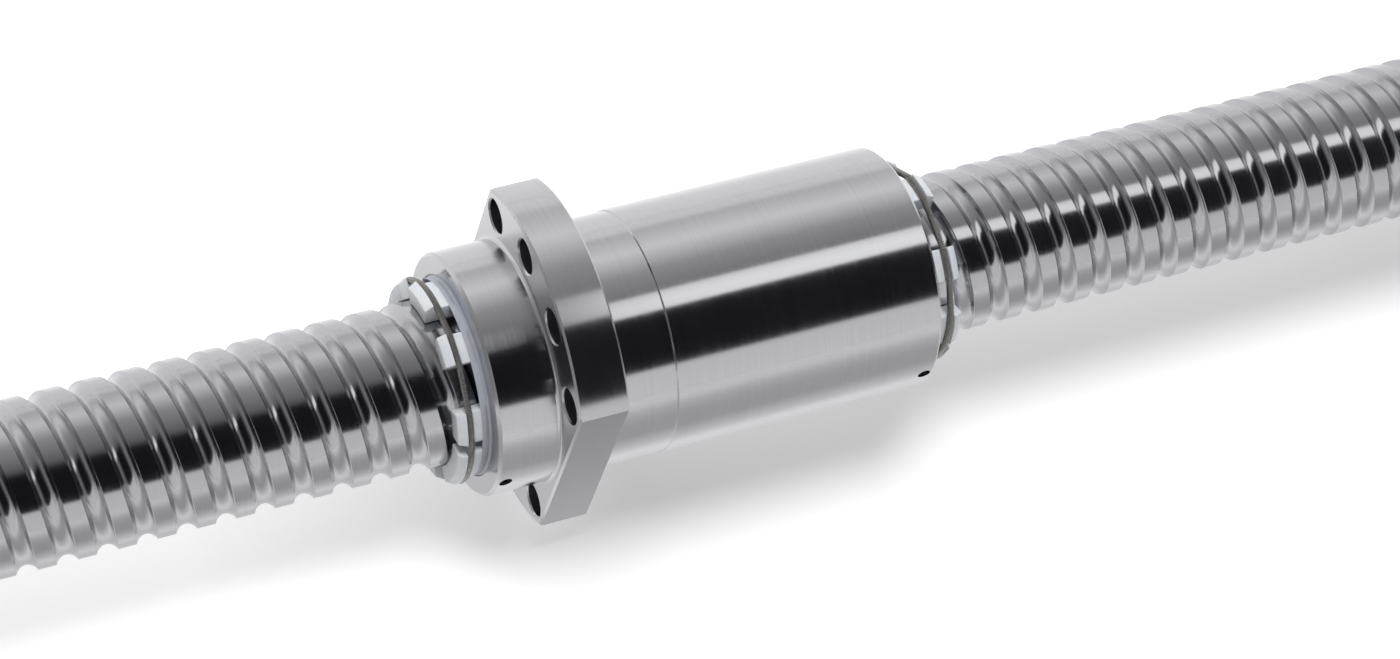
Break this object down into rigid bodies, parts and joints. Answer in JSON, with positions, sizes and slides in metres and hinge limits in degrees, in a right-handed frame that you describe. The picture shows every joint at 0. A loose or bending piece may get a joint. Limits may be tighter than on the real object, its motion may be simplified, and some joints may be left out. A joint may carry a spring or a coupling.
{
  "type": "ball screw linear actuator",
  "caption": "Two-start ball screw with a flanged, wiper-sealed ball nut, support bearings, lock nut and keyed drive journal.",
  "frame": {"origin": "on the screw's axis, in the plane of the flange's seat (the flange's rear face)", "axes": "+X along the screw towards the driven end, +Z towards the middle of one of the flange's arcs, the flange's two flats face +Y and -Y"},
  "size_m": [0.806, 0.1, 0.135],
  "materials": {
    "ground_steel": "ground and hardened, bright",
    "nut_steel": "ground, satin flange",
    "bearing_steel": "polished rings",
    "black_steel": "black oxide",
    "spring_steel": "dark drawn wire",
    "zinc_steel": "plain pressed steel",
    "wiper_plastic": "natural acetal",
    "deflector_plastic": "filled nylon",
    "seal_rubber": "moulded seal"
  },
  "bodies": {
    "supports": {"fixed_bearing_outer_ring": "bearing_steel", "fixed_bearing_seal_inboard": "seal_rubber", "fixed_bearing_seal_outboard": "seal_rubber", "float_bearing_outer_ring": "bearing_steel", "float_bearing_seal_inboard": "seal_rubber", "float_bearing_seal_outboard": "seal_rubber"},
    "screw": {"screw_shaft": "ground_steel", "fixed_bearing_inner_ring_inboard": "bearing_steel", "fixed_bearing_inner_ring_outboard": "bearing_steel", "float_bearing_inner_ring": "bearing_steel", "float_circlip": "black_steel", "lock_washer": "zinc_steel", "lock_nut": "black_steel", "drive_key": "zinc_steel"},
    "nut": {"nut_body": "nut_steel", "front_wiper": "wiper_plastic", "rear_wiper": "wiper_plastic", "front_wiper_spring": "spring_steel", "rear_wiper_spring": "spring_steel", "front_wiper_set_screws": "black_steel", "rear_wiper_set_screws": "black_steel", "front_deflector_1": "deflector_plastic", "front_deflector_2": "deflector_plastic", "rear_deflector_1": "deflector_plastic", "rear_deflector_2": "deflector_plastic"}
  },
  "joints": [
    {"name": "screw_spin", "type": "hinge", "parent": "supports", "child": "screw", "pos_m": [0, 0, 0], "axis": [1, 0, 0], "range_deg": [-2760, 2040]},
    {"name": "nut_travel", "type": "slide", "parent": "supports", "child": "nut", "axis": [1, 0, 0], "range_m": [-0.17, 0.23]}
  ],
  "couplings": [
    {"joint": "nut_travel", "follows": "screw_spin", "m_per_rad": -0.0047746}
  ]
}
